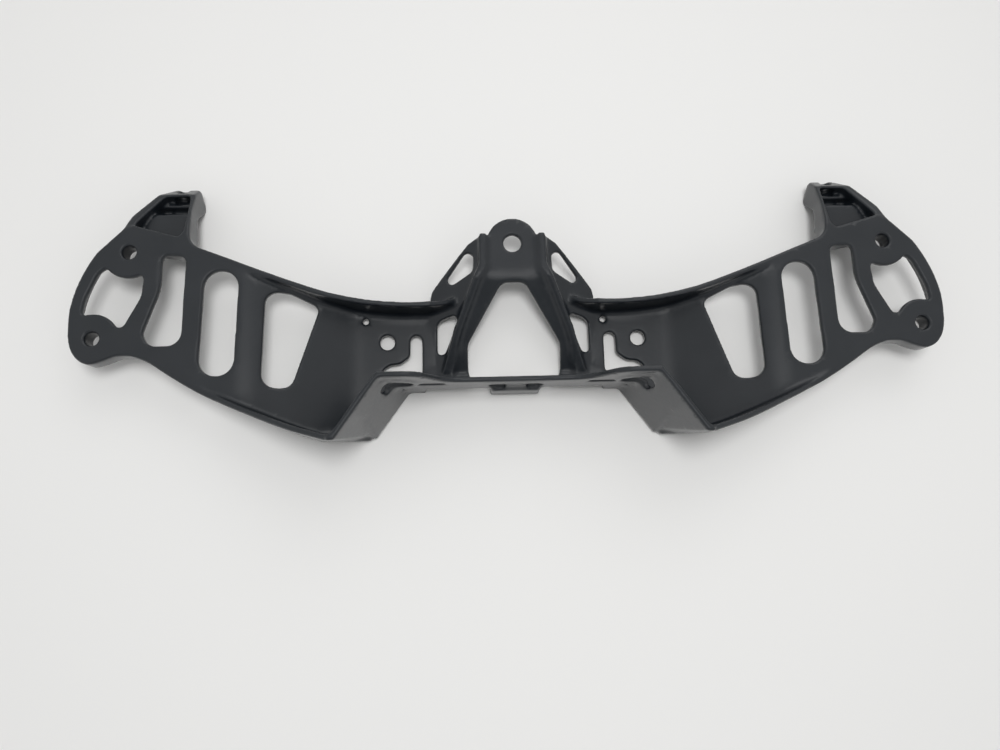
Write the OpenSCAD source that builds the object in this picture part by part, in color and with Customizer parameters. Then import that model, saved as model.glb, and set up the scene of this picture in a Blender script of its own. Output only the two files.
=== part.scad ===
// Fairing stay, one thin-walled casting, lying front side up
// X across the machine, Y toward the top tab, Z out of the front side, millimetres

/* [Walls] */
// Floor and web thickness
wall = 3; // [2:0.5:5]
// Thickness of the standing rims
rim_t = 2.5; // [1.5:0.5:4]
// Depth of the bosses round the mirror holes
plate_t = 6; // [4:0.5:8]

/* [Heights above the bench] */
// Front face of the mirror plates and of the top tab
z_plate = 22; // [16:1:30]
// Front face of the two sunk pads
z_pad = 5; // [3:0.5:8]
// Front edge of the two leg walls
z_leg = 49; // [40:1:60]
// Front edge of the middle of the tray wall
z_tray = 30; // [24:1:40]

/* [Fixing holes] */
// Mirror holes
mirror_d = 6.5; // [5:0.1:8.5]
// Top tab hole
tab_d = 8.2; // [6:0.1:10]
// Pad holes
pad_d = 7; // [5:0.1:9]
// Hook holes
hook_d = 5; // [3:0.1:6]

/* [Hidden] */
black = [0.05, 0.053, 0.056];
y_mid = 33;                 // middle of the drawing's height, set to Y = 0
z_top = z_leg + 1;
floor_slope = atan2(z_plate - z_pad, 48);
a_slope = 20;               // fall of the middle frame toward the tray
leg_lean = 9;               // lean of the leg walls, degrees

// Rounding of drawn corners
function unit(v) = v / norm(v);
function corner(a, b, c, r) =
  let (u = unit(a - b), v = unit(c - b), half = acos(max(-1, min(1, u * v))) / 2)
  r <= 0 || half > 89 ? [b] :
  let (m = b + unit(u + v) * r / sin(half), p = b + u * r / tan(half),
       q = b + v * r / tan(half),
       a0 = atan2(p[1] - m[1], p[0] - m[0]), a1 = atan2(q[1] - m[1], q[0] - m[0]),
       d = a1 - a0, turn = d > 180 ? d - 360 : d < -180 ? d + 360 : d,
       n = max(2, ceil(abs(turn) / 15)))
  [for (i = [0:n]) m + r * [cos(a0 + turn * i / n), sin(a0 + turn * i / n)]];
function xy(p) = [p[0], p[1]];
function rounded(p) = let (n = len(p)) [for (i = [0:n - 1])
  each corner(xy(p[(i + n - 1) % n]), xy(p[i]), xy(p[(i + 1) % n]), len(p[i]) > 2 ? p[i][2] : 0)];
// Smooth curve through drawn points, n steps between each pair
function mid(a, b, c, d, t) = 0.5 * (2 * b + (c - a) * t + (2 * a - 5 * b + 4 * c - d) * t * t
  + (3 * b - a - 3 * c + d) * t * t * t);
function smooth(p, n) = let (m = len(p)) [for (i = [0:m - 2]) for (k = [0:n - 1])
  mid(p[max(i - 1, 0)], p[i], p[i + 1], p[min(i + 2, m - 1)], k / n), p[m - 1]];
// Open line moved sideways by t, used for standing rims
function side_of(p, t) = let (n = len(p)) [for (i = [0:n - 1])
  let (d = unit(xy(p[min(i + 1, n - 1)]) - xy(p[max(i - 1, 0)]))) xy(p[i]) + t * [-d[1], d[0]]];
function back(p) = [for (i = [len(p) - 1:-1:0]) xy(p[i])];

module along_z(z0, z1) { translate([0, 0, z0]) linear_extrude(z1 - z0) children(); }
module along_y(y0, y1) { translate([0, y1, 0]) rotate([90, 0, 0]) linear_extrude(y1 - y0) children(); }
module along_x(x0, x1) { translate([x0, 0, 0]) rotate([90, 0, 90]) linear_extrude(x1 - x0) children(); }

// Measured outlines of the right half
bottom_edge = smooth([[76.5, -29.4], [79, -29.6], [84.1, -28.1], [94.9, -24.8], [105, -21], [114, -17.2],
  [122, -13.8], [130, -10.2], [138.5, -6.2], [147, -1.4], [155.5, 4]], 2);
lobe_edge = smooth([[155.5, 4], [162.6, 8.8], [167.7, 11.2], [172.8, 12.5], [178.4, 12.1], [183.4, 10.2],
  [188.5, 8.9], [192.6, 9.9], [195.6, 12.5], [197.9, 16.5], [199.2, 23.5], [199, 34.4], [195.8, 46.5],
  [189.8, 58.5], [184.5, 64.4], [177.4, 71.2]], 3);
top_edge = smooth([[143.6, 62.4], [128.7, 56.6], [115, 51.1], [99.1, 45.2], [84.8, 40.4], [67.4, 36.7],
  [50.3, 35.3], [38.4, 35.6]], 2);
flare_edge = [[44, 35.2], [38.4, 35.6], [32.5, 37], [26.4, 39.2]];
leg_corner = [58.8, -4.1];
leg_dir = unit([76.4, -29.2] - leg_corner);
leg_angle = atan2(leg_dir[1], leg_dir[0]);

module arm_outline() polygon(concat(bottom_edge, lobe_edge,
  [[172, 73], [158, 69], [147, 66], [145.6, 64]], top_edge, [[38.4, -4.1], [46, -4.1], [66, -29.4]]));

// Side view of the arm floor: plate level, slope and sunk pad, with soft bends
module floor_side(lift) polygon(rounded([[36, z_pad + lift, 0], [74, z_pad + lift, 12],
  [121, z_plate + lift, 26], [210, z_plate + lift, 0], [210, 60, 0], [36, 60, 0]]));
module floor_plate() difference() {
  along_z(0, z_top) arm_outline();
  along_y(-40, 90) floor_side(0);
  along_y(-40, 90) polygon(rounded([[36, z_pad - wall, 0], [75, z_pad - wall, 12],
    [122, z_plate - wall, 26], [210, z_plate - wall, 0], [210, -5, 0], [36, -5, 0]]));
}
mirror_holes = [[174.1, 60.4], [188.5, 20.5]];
module mirror_boss() for (p = mirror_holes) intersection() {
  translate([p[0], p[1], z_plate - plate_t]) cylinder(d = 14, h = plate_t);
  along_z(0, z_top) arm_outline();
}
module arm_back() along_y(-40, 90) polygon(rounded([[36, z_pad - wall, 0], [75, z_pad - wall, 12],
  [122, z_plate - wall, 26], [210, z_plate - wall, 0], [210, 60, 0], [36, 60, 0]]));

module bottom_wall() intersection() {
  along_z(0, z_leg) polygon(concat([[66, -26.8]], bottom_edge, back(side_of(bottom_edge, rim_t)), [[66, -24]]));
  along_y(-40, 20) polygon(rounded([[60, 3, 0], [60, z_leg, 0], [77, z_leg, 8], [133, z_plate, 60],
    [160, z_plate, 0], [160, z_plate - wall, 0], [122, z_plate - wall, 26], [79, z_pad - wall, 8], [70, 3, 0]]));
}
module flange() intersection() {
  along_z(0, z_plate) polygon(concat(top_edge, back(side_of(top_edge, rim_t))));
  arm_back();
  along_y(20, 70) polygon([[30, 0], [150, 0], [150, z_plate], [110, z_plate], [60, z_plate - 1.2], [30, z_plate - 2]]);
}
// The flange's end, falling on to the wing
module flare() intersection() {
  along_z(0, z_plate) polygon(concat(flare_edge, back(side_of(flare_edge, rim_t))));
  along_y(20, 70) polygon([[24, 8.6], [24, 11], [27, 12.6], [38.5, z_plate - 2], [44, z_plate - 1.8],
    [44, z_pad - wall], [38.4, z_pad - wall]]);
}
module leg_frame() translate([leg_corner[0], leg_corner[1], z_leg]) rotate([0, 0, leg_angle]) rotate([-leg_lean, 0, 0]) children();
module leg_wall() intersection() {
  leg_frame() translate([-20, 0, -60]) cube([60, rim_t, 70]);
  along_z(0, z_leg) polygon([[40, -3], [60, -3], [82, -29.2], [76.5, -29.4], [66, -26.8], [40, -10]]);
  along_y(-40, 5) polygon([[40, 0], [52, 0], [68, 3], [90, 3], [90, 60], [40, 60]]);
}
seat = [54.5, 30.5];         // middle of the round seat in the tray wall
module leg_outside() intersection() {
  leg_frame() translate([-60, -60, -80]) cube([140, 60, 100]);
  along_z(-1, z_top) polygon([[30, -4.1], [66, -4.1], [90, -34], [30, -34]]);
}

module arm_openings() {
  along_z(-1, z_top) {
    // Window between the mirror holes, hollowed round each of them
    difference() {
      polygon(rounded([[187.6, 50.2, 3], [184, 53.2, 2.5], [176, 52, 0], [167, 50.4, 3.5], [167.8, 39.6, 8],
        [175.4, 25, 2.5], [182, 27, 0], [194, 29, 2.5], [192.6, 38.5, 12]]));
      translate(mirror_holes[0]) circle(r = 12.1);
      translate(mirror_holes[1]) circle(r = 11.4);
    }
    polygon(rounded([[159.1, 58.6, 2.2], [148.6, 58.4, 3], [149.5, 16.8, 6], [163.8, 16.6, 5], [166.6, 22.4, 4],
      [159.4, 43, 22]]));
    polygon(rounded([[139.9, 50.9, 7.4], [124.6, 50.9, 7.4], [126, 2.6, 7.4], [141.6, 2.6, 7.4]]));
    polygon(rounded([[113.2, 42, 5.5], [103, 41.4, 8], [90.4, 35.7, 3.5], [102.1, -2.6, 5.5], [114.5, -2.6, 6]]));
  }
  for (p = mirror_holes) translate([p[0], p[1], -1]) cylinder(d = mirror_d, h = z_top);
  translate([59.5, 19.7, -1]) cylinder(d = pad_d, h = 20);
  along_z(-1, 20) polygon(rounded([[43.2, 3.6, 2], [43.2, 22.7, 2.6], [48.6, 22.7, 2.6], [48.8, 12.6, 3],
    [53.5, 9.2, 3], [58.4, 8.6, 2], [61.4, 6.6, 2], [61.4, 3.6, 1]]));
}

// Turned-back skirt behind the mirror plate's edge
module lobe_skirt() along_z(z_plate - 9, z_plate - 1) polygon(concat(lobe_edge, back(side_of(lobe_edge, 2.8))));

// Hook: open pocket standing behind the arm end
hook_edge = [[145.6, 60, 0], [147.4, 68, 5], [148.4, 82, 0], [147.6, 95.6, 2], [159.5, 95.6, 3],
  [165.4, 90.4, 3], [175, 78.4, 6], [177.6, 71, 0], [170, 62, 0], [150, 58, 0]];
pocket_edge = [[154, 65.6, 2.5], [150.4, 70, 3], [150.1, 76, 4], [150.1, 89.8, 1], [161.6, 89.5, 1.5],
  [168, 80.7, 3], [173.6, 72.6, 1.5], [171.6, 70.9, 1]];
module pocket_plan() along_z(0, z_top) polygon(rounded(pocket_edge));
module hook() {
  difference() {
    intersection() {
      along_z(0, z_top) polygon(rounded(hook_edge));
      along_x(140, 182) polygon(rounded([[50, z_plate - 4, 0], [58, z_plate - 10, 5], [72, z_plate - 12.6, 0],
        [80, z_plate - 12.6, 5], [86.6, 0, 0], [89.5, 0, 0], [95.95, 7.8, 1.5], [90.5, z_plate - 7, 2],
        [71, z_plate, 14], [50, z_plate, 0]]));
    }
    // Rising floor, then the deep channel under the top face
    intersection() {
      pocket_plan();
      along_x(140, 182) polygon(rounded([[58, 12.4, 0], [80.8, 15.8, 1.5], [82.6, 8.5, 2], [86, 3.2, 1],
        [90, 3.2, 0], [90, 40, 0], [58, 40, 0]]));
    }
    // Groove along the slanted wall and the curved groove beside its ledge
    along_z(12.2, z_top) polygon([[173.2, 72.8], [168, 80.4], [163, 87.4], [161.6, 86.2], [166.4, 79.4], [171.4, 72.2]]);
    along_z(13.2, z_top) polygon(concat(ledge_edge, back(side_of(ledge_edge, 1))));
    translate([155.4, 97, 10]) rotate([90, 0, 0]) cylinder(d = hook_d, h = 10);
  }
  // Ridge across the deep channel, with a gap
  for (x = [[149, 161.2], [162.3, 168]]) intersection() {
    pocket_plan();
    translate([x[0], 85.5, 2.6]) cube([x[1] - x[0], 1.9, 8.4]);
  }
}
ledge_edge = smooth([[169.8, 72.6], [169, 75], [167.2, 78], [164.6, 80.4], [161, 81.6]], 2);

module half(side) {
  difference() {
    union() {
      floor_plate();
      mirror_boss();
      bottom_wall();
      flange();
      flare();
      leg_wall();
      lobe_skirt();
    }
    arm_openings();
    leg_outside();
    tray_holes();
    under_bend();
    translate([side > 0 ? 43.2 : 69.7, side > 0 ? 29.3 : 30.1, -1]) cylinder(d = 3, h = 20);
  }
  hook();
}

// Middle frame: top tab, bend and sloping frame round the main opening
module a_plate(x1) along_x(-x1, x1) polygon(rounded([[80, z_plate - 1, 0], [47, z_plate - 1, 8],
  [3, z_plate - 1 - 44 * tan(a_slope), 0], [-4, z_plate - 1 - 44 * tan(a_slope), 0],
  [-4, z_plate - 1 - wall - 44 * tan(a_slope), 0], [2.4, z_plate - 1 - wall - 44 * tan(a_slope), 0],
  [46.6, z_plate - 1 - wall, 11], [80, z_plate - 1 - wall, 0]]));
rib_line = [[13.7, 65.4], [14.2, 51.4], [17.4, 44.7], [26.3, 23.2], [31.6, 5.5], [33.4, -1.7]];
module frame_outline() {
  polygon(concat(rib_line, back([for (p = rib_line) [-p[0], p[1]]])));
  translate([0, 62.4]) circle(r = 11.9);
}
module main_opening() polygon(rounded([[5.4, 43.8, 5], [21.6, 17, 6], [21.6, -0.6, 6],
  [-21.6, -0.6, 6], [-21.6, 17, 6], [-5.4, 43.8, 5]]));
module rib_strip() for (i = [0:len(rib_line) - 3]) let (a = rib_line[i], d = rib_line[i + 1] - a)
  translate([a[0], a[1], 0]) rotate([0, 0, atan2(d[1], d[0])]) translate([-1.5, -1.6, 0]) cube([norm(d) + 3, 3.2, 40]);
module wing() intersection() {
  translate([14, 60, z_plate - 1]) rotate([0, 0, -19]) rotate([0, 25.3, 0]) translate([-40, -90, -wall]) cube([80, 130, wall]);
  along_z(0, z_top) difference() {
    polygon([[13, 65.4], [16.2, 65.2], [20.6, 62.9], [27.7, 55.3], [34.8, 47.3], [38.2, 43.2], [39, 40],
      [39, 24.6], [22, 24.6], [13, 45]]);
    polygon(rounded([[21.6, 59.6, 2], [18.2, 57.4, 2], [18.6, 50.2, 2.4], [28.6, 44.9, 2.2], [31, 47.6, 2.2]]));
    web_hole();
  }
}
// Web below the wing, down to the pad's inner edge
module web_hole() polygon(rounded([[33.8, 29.4, 2], [27.4, 31.2, 1.6], [26, 28.6, 1.4], [32.4, 13.2, 1.6],
  [36, 13.4, 1.8], [35.8, 27.4, 3]]));
module low_web() intersection() {
  translate([38.4, 25, z_pad - 0.2]) rotate([4, 0, 0]) rotate([0, 24, 0]) translate([-30, -40, -wall]) cube([40, 41, wall]);
  along_z(0, z_top) difference() {
    polygon([[24, 25.4], [38.8, 25.4], [38.8, -3], [31, -3], [24, 20]]);
    web_hole();
  }
}
module middle_frame() difference() {
  union() {
    intersection() { a_plate(34); along_z(0, z_top) frame_outline(); }
    for (s = [0, 1]) mirror([s, 0, 0]) {
      wing();
      low_web();
      intersection() {
        rib_strip();
        translate([0, 0, 1.5]) a_plate(40);
      }
    }
  }
  along_z(-1, z_top) main_opening();
  translate([0, 62.2, -1]) cylinder(d = tab_d, h = 60);
}

// Tray wall between the legs, seen edge-on from the front, with a round bend at its foot
bend_r = 10;
bend_mid = [bend_r - 4.1, bend_r + 2];
module bend_section(r) intersection() {
  translate(bend_mid) circle(r = r);
  translate([-20, -10]) square([20 + bend_mid[0], 10 + bend_mid[1]]);
}
module bend() along_x(-41.6, 41.6) difference() {
  bend_section(bend_r);
  bend_section(bend_r - wall);
}
module under_bend() along_x(-41.6, 41.6) difference() {
  translate([-12, -1]) square([12 + bend_mid[0], 1 + bend_mid[1]]);
  bend_section(bend_r);
}
module tray_holes() along_y(-8, 0) {
  polygon(rounded([[45.8, 24.6, 5], [45.8, 35.4, 5], [63.2, 35.4, 5], [63.2, 24.6, 5]]));
  polygon(rounded([[32, 23.4, 1.8], [32, 27.6, 1.8], [44, 27.6, 1.8], [44, 23.4, 1.8]]));
}
module tray_side() polygon(rounded([[-60, z_leg, 0], [-43, z_leg, 10], [-31, z_tray + 1, 12], [0, z_tray, 200],
  [31, z_tray + 1, 12], [43, z_leg, 10], [60, z_leg, 0], [48, 0, 0], [41.6, 0, 0], [41.6, 2, 0],
  [-41.6, 2, 0], [-41.6, 0, 0], [-48, 0, 0]]));
module tray_wall() difference() {
  union() {
    along_y(-4.1, -1.6) tray_side();
    for (x = [-1, 1]) along_y(-4.8, -4) translate([x * seat[0], seat[1]]) circle(r = 11);
  }
  for (s = [0, 1]) mirror([s, 0, 0]) tray_holes();
  along_y(-8, 0) polygon(rounded([[-12, 13.5, 2.5], [-12, 21, 2.5], [12, 21, 2.5], [12, 13.5, 2.5]]));
}
// Lug and tongue in the middle of the tray wall
module lug() {
  along_y(-4.1, -1.6) translate([-5, 8]) square([10, 16]);
  along_y(-5.8, -1.6) polygon(rounded([[-11.6, 0, 0], [-10.6, 13.6, 3], [10.6, 13.6, 3], [11.6, 0, 0]]));
}

module stay() color(black) translate([0, -y_mid, 0]) {
  half(1);
  mirror([1, 0, 0]) half(-1);
  difference() {
    union() {
      middle_frame();
      difference() {
        bend();
        along_z(-1, z_top) main_opening();
        for (s = [0, 1]) mirror([s, 0, 0]) arm_openings();
      }
      tray_wall();
    }
    under_bend();
  }
  lug();
}

stay();
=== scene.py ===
"""Fairing stay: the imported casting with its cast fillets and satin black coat, on a white table."""

import math

import bmesh
import bpy
import numpy as np
import openvdb
from mathutils import Matrix, Vector


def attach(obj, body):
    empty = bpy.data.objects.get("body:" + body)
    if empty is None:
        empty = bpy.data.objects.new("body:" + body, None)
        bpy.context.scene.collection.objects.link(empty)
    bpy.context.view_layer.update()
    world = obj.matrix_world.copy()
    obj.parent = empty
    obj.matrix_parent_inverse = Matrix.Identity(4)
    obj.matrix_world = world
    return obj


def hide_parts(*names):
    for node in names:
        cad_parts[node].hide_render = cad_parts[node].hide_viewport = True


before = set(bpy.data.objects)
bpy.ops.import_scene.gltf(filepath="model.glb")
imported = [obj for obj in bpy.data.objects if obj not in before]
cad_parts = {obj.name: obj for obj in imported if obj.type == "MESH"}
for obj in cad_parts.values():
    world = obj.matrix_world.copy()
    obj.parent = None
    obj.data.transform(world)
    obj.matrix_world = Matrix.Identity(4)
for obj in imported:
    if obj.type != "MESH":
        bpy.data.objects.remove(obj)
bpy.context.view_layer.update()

# Every length is in metres, apart from the camera's lens

# Grid of the casting's skin
VOXEL = 0.0005
GRID = openvdb.createLinearTransform(voxelSize=VOXEL)
MARGIN = 8                         # cells left free on each side of the solid
SPARE_CELLS = 2                    # cells past the reach of a distance grid
FLATNESS = 0.05                    # how freely flat places share one face

# Fillets
COVE = 0.002                       # hollow fillets of the arms, legs and middle frame
SMALL_COVE = 0.001                 # hollow fillets of the mirror plates and hooks
COVE_REACH = COVE + 0.002          # how far from the faces the distances hold
SMALL_FROM, SMALL_FADE = 0.125, 0.01   # distance from the middle where the small ones take over
EDGE = 0.00045                     # rounding of the standing edges
EDGE_REACH = EDGE * 2
EMPTY = EDGE * 4                   # value of the cells outside the grid

# Where openings go through the tray wall
TRAY_SIDE, TRAY_FOOT = 0.066, 0.012
TRAY_OUTER, TRAY_INNER = -0.0395, -0.0338

# Collars behind the mirror holes
MIRROR_HOLES = [(0.1741, 0.0274), (0.1885, -0.0125)]
HOLE_R, COLLAR_R = 0.00325, 0.0066
COLLAR_MIDDLE, COLLAR_LENGTH = 0.0148, 0.005
COLLAR_ROOM = 0.011                # half the side of the block of cells round a collar

# Foot of the bottom wall beside the legs
FOOT_DRAFT = 0.0652                # its lean
FOOT_Y, FOOT_Z = -0.0595, 0.003    # a point of the leaning face
FOOT_FROM, FOOT_TO, FOOT_STEP = 0.055, 0.125, 0.001
FOOT_START = (0.062, 0.066)        # distances from the middle where the lean comes in
FOOT_END = (0.105, 0.115)          # and where it goes out
FOOT_DEPTH = (0.048, 0.055)        # the same toward the bottom edge

TABLE = 4                          # its side
WALLS = 0.52                       # brightness of the room round the table
# Soft round patches on top of it: direction, full inside and gone outside these angles, strength
PATCHES = [
    ((0.05, -0.05, 1), 8, 16, 1.3),       # glow of the ceiling lamp
    ((-0.02, -0.44, 0.9), 9, 24, -0.42),  # the dark place where the photographer stands
]

LENS, SENSOR = 27.036, 36          # millimetres
CLIP_START = 0.01
CAMERA_AT = (-0.01926, -0.08832, 0.35327)
CAMERA_RIGHT = (0.999135, -0.027539, 0.031152)
CAMERA_UP = (0.022002, 0.985901, 0.165876)


# Materials

def new_material(name):
    material = bpy.data.materials.new(name)
    material.use_nodes = True
    nodes = material.node_tree.nodes
    return material, nodes, material.node_tree.links, nodes["Principled BSDF"]


def noise(nodes, links, coordinates, scale, detail):
    node = nodes.new("ShaderNodeTexNoise")
    node.inputs["Scale"].default_value = scale
    node.inputs["Detail"].default_value = detail
    links.new(coordinates.outputs["Object"], node.inputs["Vector"])
    return node.outputs["Fac"]


def ramp(nodes, links, source, low, high):
    """Number from low to high over the middle of a noise's range."""
    node = nodes.new("ShaderNodeMapRange")
    node.inputs["From Min"].default_value = 0.3
    node.inputs["From Max"].default_value = 0.7
    node.inputs["To Min"].default_value = low
    node.inputs["To Max"].default_value = high
    links.new(source, node.inputs["Value"])
    return node.outputs["Result"]


def tones(nodes, links, source, shader, stops):
    """Base colour that runs through the stops, each a place and a colour."""
    node = nodes.new("ShaderNodeValToRGB")
    for element, (position, color) in zip(node.color_ramp.elements, stops):
        element.position = position
        element.color = (*color, 1)
    links.new(source, node.inputs["Fac"])
    links.new(node.outputs["Color"], shader.inputs["Base Color"])


def bump(nodes, links, height, strength, distance):
    node = nodes.new("ShaderNodeBump")
    node.inputs["Strength"].default_value = strength
    node.inputs["Distance"].default_value = distance
    links.new(height, node.inputs["Height"])
    return node


def black_coat():
    """Satin black coat on a casting: small cloudy changes of tone and gloss, fine orange peel."""
    material, nodes, links, shader = new_material("black_coat")
    place = nodes.new("ShaderNodeTexCoord")
    clouds = noise(nodes, links, place, scale=60, detail=4)
    grain = noise(nodes, links, place, scale=900, detail=2)
    peel = noise(nodes, links, place, scale=420, detail=3)
    tones(nodes, links, clouds, shader,
          [(0.3, (0.0080, 0.0110, 0.0145)), (0.7, (0.0120, 0.0150, 0.0190))])
    gloss = nodes.new("ShaderNodeMath")
    gloss.operation = "ADD"
    links.new(ramp(nodes, links, clouds, 0.32, 0.36), gloss.inputs[0])
    links.new(ramp(nodes, links, grain, -0.02, 0.02), gloss.inputs[1])
    links.new(gloss.outputs["Value"], shader.inputs["Roughness"])
    shader.inputs["Coat Weight"].default_value = 0.4
    shader.inputs["Coat Roughness"].default_value = 0.25
    low = bump(nodes, links, peel, strength=0.12, distance=0.0003)
    fine = bump(nodes, links, grain, strength=0.04, distance=0.0001)
    links.new(low.outputs["Normal"], fine.inputs["Normal"])
    links.new(fine.outputs["Normal"], shader.inputs["Normal"])
    links.new(fine.outputs["Normal"], shader.inputs["Coat Normal"])
    return material


def table_top():
    """Plain white table with a barely seen mottle."""
    material, nodes, links, shader = new_material("table_top")
    mottle = noise(nodes, links, nodes.new("ShaderNodeTexCoord"), scale=5, detail=2)
    tones(nodes, links, mottle, shader, [(0, (0.865, 0.865, 0.855)), (1, (0.885, 0.88, 0.865))])
    shader.inputs["Roughness"].default_value = 0.7
    return material


# The casting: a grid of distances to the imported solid, moved out and back in for hollow fillets,
# then in and out again for rounded edges

def level_set(points, faces, reach):
    """Distance grid round a closed mesh, true as far as reach from its faces."""
    kind = "quads" if faces.shape[1] == 4 else "triangles"
    polygons = {kind: np.ascontiguousarray(faces, np.uint32)}
    return openvdb.FloatGrid.createLevelSetFromPolygons(
        np.ascontiguousarray(points, np.float32), transform=GRID,
        halfWidth=reach / VOXEL + SPARE_CELLS, **polygons)


def moved(grid, distance, reach):
    """New distance grid round the surface that lies at that distance from the old one."""
    points, _, quads = grid.convertToPolygons(isovalue=distance)
    return level_set(points, quads, reach)


def solid_grid(mesh, reach):
    """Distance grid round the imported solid."""
    mesh.calc_loop_triangles()
    points = np.empty(len(mesh.vertices) * 3, np.float32)
    mesh.vertices.foreach_get("co", points)
    triangles = np.empty(len(mesh.loop_triangles) * 3, np.int32)
    mesh.loop_triangles.foreach_get("vertices", triangles)
    return level_set(points.reshape(-1, 3), triangles.reshape(-1, 3), reach)


def to_array(grid, low, shape, shift=0.0):
    values = np.empty(shape, np.float32)
    grid.copyToArray(values, ijk=low)
    return values + np.float32(shift)


def cell(metres, start):
    return int(round(metres / VOXEL)) - start


def add_collar(values, low, x, y):
    """Longer collar behind a mirror hole, so that the hole is as deep as the photo shows."""
    first = [cell(v - COLLAR_ROOM, l) for v, l in zip((x, y, COLLAR_MIDDLE), low)]
    side = cell(2 * COLLAR_ROOM, 0) + 1
    block = tuple(slice(max(f, 0), f + side) for f in first)
    place = np.meshgrid(*[(np.arange(b.start, min(b.stop, n)) + l) * VOXEL
                          for b, n, l in zip(block, values.shape, low)], indexing="ij")
    radius = np.hypot(place[0] - x, place[1] - y)
    wall = np.abs(radius - (HOLE_R + COLLAR_R) / 2) - (COLLAR_R - HOLE_R) / 2
    length = np.abs(place[2] - COLLAR_MIDDLE) - COLLAR_LENGTH / 2
    values[block] = np.minimum(values[block], np.maximum(wall, length).astype(np.float32))


def filleted(solid):
    """Distance array with the coves filled in and every opening kept at its own size."""
    grid = solid_grid(solid, COVE_REACH)
    corners = np.array([v.co for v in solid.vertices]) / VOXEL
    low = tuple(int(v) - MARGIN for v in np.floor(corners.min(0)))
    shape = tuple(int(v) + MARGIN + 1 - l for v, l in zip(np.ceil(corners.max(0)), low))
    plain = to_array(grid, low, shape)
    small = to_array(moved(grid, SMALL_COVE, COVE_REACH), low, shape, SMALL_COVE)
    large = to_array(moved(grid, COVE, COVE_REACH), low, shape, COVE)
    # No cove in an opening that goes straight through from the front, or through the tray wall
    large = np.maximum(large, plain.min(axis=2, keepdims=True))
    tray = (slice(cell(-TRAY_SIDE, low[0]), cell(TRAY_SIDE, low[0])),
            slice(cell(TRAY_OUTER, low[1]), cell(TRAY_INNER, low[1])),
            slice(cell(TRAY_FOOT, low[2]), None))
    large[tray] = np.maximum(large[tray], plain[tray].min(axis=1, keepdims=True))
    # Only small coves from the mirror plates outward
    x = np.abs((np.arange(shape[0]) + low[0]) * VOXEL)
    outer = np.clip((x - SMALL_FROM) / SMALL_FADE, 0, 1).astype(np.float32)[:, None, None]
    values = large * (1 - outer) + small * outer
    for x, y in MIRROR_HOLES:
        for side in (-1, 1):
            add_collar(values, low, side * x, y)
    return low, values


def skin(solid):
    """Points, triangles and quads of the rounded casting."""
    low, values = filleted(solid)
    grid = openvdb.FloatGrid(EMPTY)
    grid.copyFromArray(values, ijk=low)
    grid.transform = GRID
    inside = moved(grid, -EDGE, EDGE_REACH)
    return inside.convertToPolygons(isovalue=EDGE, adaptivity=FLATNESS)


def fade(values, start, end):
    t = np.clip((values - start) / (end - start), 0, 1)
    return t * t * (3 - 2 * t)


def drafted(points):
    """Draws the foot of the bottom wall in beside the legs."""
    out = np.abs(points[:, 0])
    y, z = points[:, 1], points[:, 2]
    steps = np.arange(FOOT_FROM, FOOT_TO, FOOT_STEP)
    edge = np.array([y[(out >= a) & (out < a + 2 * FOOT_STEP)].min() for a in steps])
    plane = FOOT_Y - FOOT_DRAFT * (z - FOOT_Z)
    shift = np.maximum(plane - np.interp(out, steps + FOOT_STEP, edge), 0)
    shift *= fade(out, *FOOT_START) * (1 - fade(out, *FOOT_END)) * fade(-y, *FOOT_DEPTH)
    leaning = points.copy()
    leaning[:, 1] += shift
    return leaning


def casting(node):
    points, triangles, quads = skin(node.data)
    mesh = bpy.data.meshes.new("casting")
    mesh.from_pydata(drafted(points).tolist(), [], triangles.tolist() + quads.tolist())
    mesh.validate()
    mesh.update()
    bm = bmesh.new()
    bm.from_mesh(mesh)
    bmesh.ops.recalc_face_normals(bm, faces=bm.faces)
    bm.to_mesh(mesh)
    bm.free()
    mesh.polygons.foreach_set("use_smooth", [True] * len(mesh.polygons))
    piece = bpy.data.objects.new("casting", mesh)
    bpy.context.scene.collection.objects.link(piece)
    mesh.materials.append(black_coat())
    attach(piece, "root")
    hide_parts("stay")


casting(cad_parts["stay"])


# Table, light and camera

bpy.ops.mesh.primitive_plane_add(size=TABLE, location=(0, 0, 0))
table = bpy.context.object
table.name = "table"
table.data.materials.append(table_top())


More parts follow.
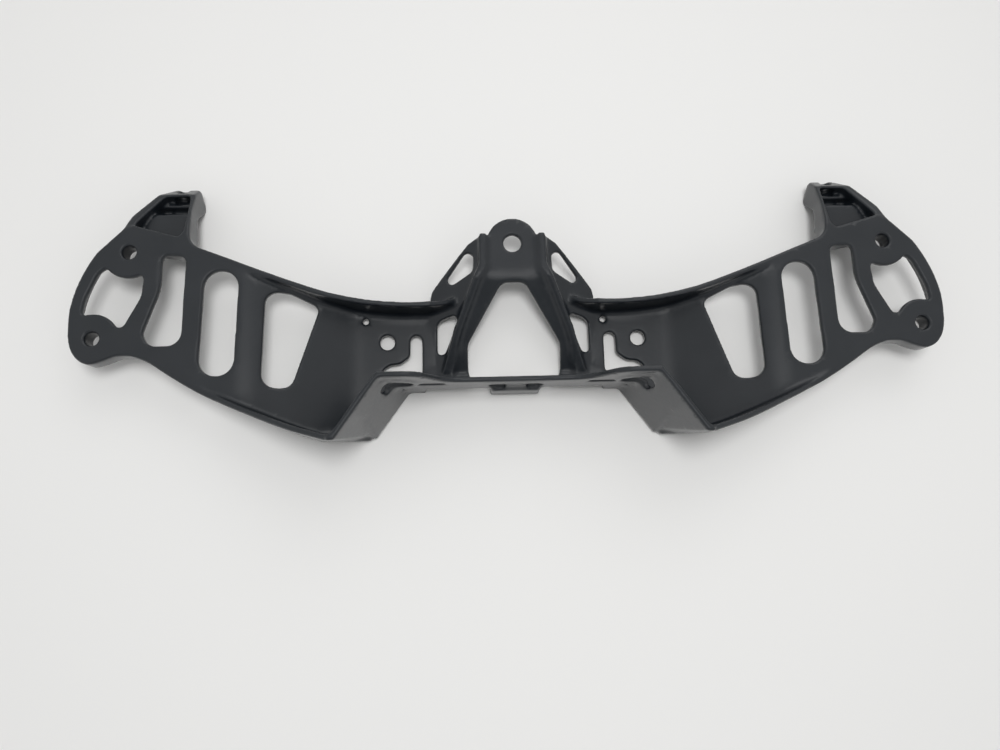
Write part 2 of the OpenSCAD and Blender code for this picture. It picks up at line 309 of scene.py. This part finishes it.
def lamp(name, place, size, power, mirrored):
    """Round lamp that shines on the object's middle."""
    data = bpy.data.lights.new(name, "AREA")
    data.shape = "DISK"
    data.size, data.energy = size, power
    lamp_object = bpy.data.objects.new(name, data)
    bpy.context.scene.collection.objects.link(lamp_object)
    lamp_object.location = place
    lamp_object.rotation_euler = (-Vector(place)).to_track_quat("-Z", "Y").to_euler()
    lamp_object.visible_glossy = mirrored


lamp("ceiling_lamp", place=(0.01, 0.01, 0.8), size=0.25, power=2.5, mirrored=False)
lamp("window", place=(0.5, 1.5, 1.5), size=1.4, power=4, mirrored=True)


def patch(nodes, links, direction, axis, inner, outer, strength):
    """Brightness added round one direction."""
    dot = nodes.new("ShaderNodeVectorMath")
    dot.operation = "DOT_PRODUCT"
    dot.inputs[1].default_value = Vector(axis).normalized()
    links.new(direction, dot.inputs[0])
    falloff = nodes.new("ShaderNodeMapRange")
    falloff.interpolation_type = "SMOOTHSTEP"
    falloff.inputs["From Min"].default_value = math.cos(math.radians(outer))
    falloff.inputs["From Max"].default_value = math.cos(math.radians(inner))
    falloff.inputs["To Max"].default_value = strength
    links.new(dot.outputs["Value"], falloff.inputs["Value"])
    return falloff.outputs["Result"]


def room():
    """World that lights the table evenly, with the patches on top."""
    world = bpy.data.worlds.new("room")
    world.use_nodes = True
    nodes, links = world.node_tree.nodes, world.node_tree.links
    direction = nodes.new("ShaderNodeTexCoord").outputs["Generated"]
    total = None
    for axis, inner, outer, strength in PATCHES:
        add = nodes.new("ShaderNodeMath")
        add.operation = "ADD"
        add.inputs[1].default_value = WALLS
        links.new(patch(nodes, links, direction, axis, inner, outer, strength), add.inputs[0])
        if total:
            links.new(total, add.inputs[1])
        total = add.outputs["Value"]
    links.new(total, nodes["Background"].inputs["Strength"])
    nodes["Background"].inputs["Color"].default_value = (1, 1, 1, 1)
    return world


bpy.context.scene.world = room()

right, up = Vector(CAMERA_RIGHT), Vector(CAMERA_UP)
turn = Matrix((right, up, right.cross(up))).transposed()
lens = bpy.data.cameras.new("camera")
lens.lens = LENS
lens.sensor_width = SENSOR
lens.clip_start = CLIP_START
camera = bpy.data.objects.new("camera", lens)
camera.matrix_world = Matrix.Translation(CAMERA_AT) @ turn.to_4x4()
bpy.context.scene.collection.objects.link(camera)
bpy.context.scene.camera = camera
bpy.context.scene.view_settings.view_transform = "Standard"
